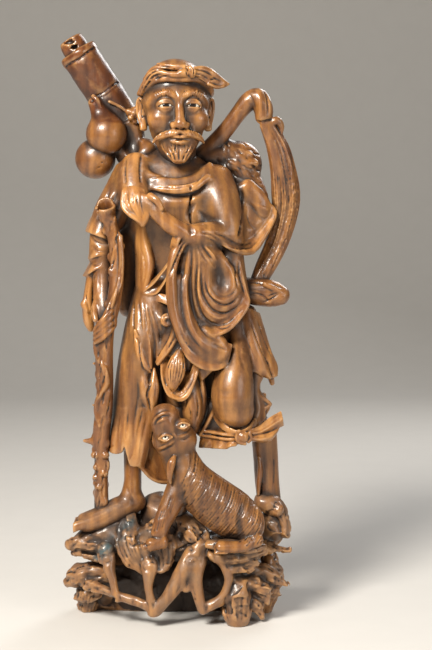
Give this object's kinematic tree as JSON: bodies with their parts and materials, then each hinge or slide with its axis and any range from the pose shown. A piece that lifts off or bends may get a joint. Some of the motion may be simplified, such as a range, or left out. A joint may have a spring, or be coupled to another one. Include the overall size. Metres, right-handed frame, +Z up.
{
  "type": "carved wooden merchant figure",
  "caption": "Carved hardwood figure of a robed travelling merchant with staff, whisk, gourds and dog on a pierced rock base.",
  "frame": {"origin": "middle of the figure's box, on the surface that it stands on", "axes": "+Z up, +X to the viewer's right, -Y the way the figure faces"},
  "size_m": [0.1692, 0.0904, 0.4097],
  "materials": {
    "wood": "semi-gloss waxed hardwood",
    "eye_inlay": "glossy"
  },
  "bodies": {
    "root": {"carving": "wood", "right_eye": "eye_inlay", "left_eye": "eye_inlay", "dog_right_eye": "eye_inlay", "dog_left_eye": "eye_inlay"}
  },
  "joints": []
}
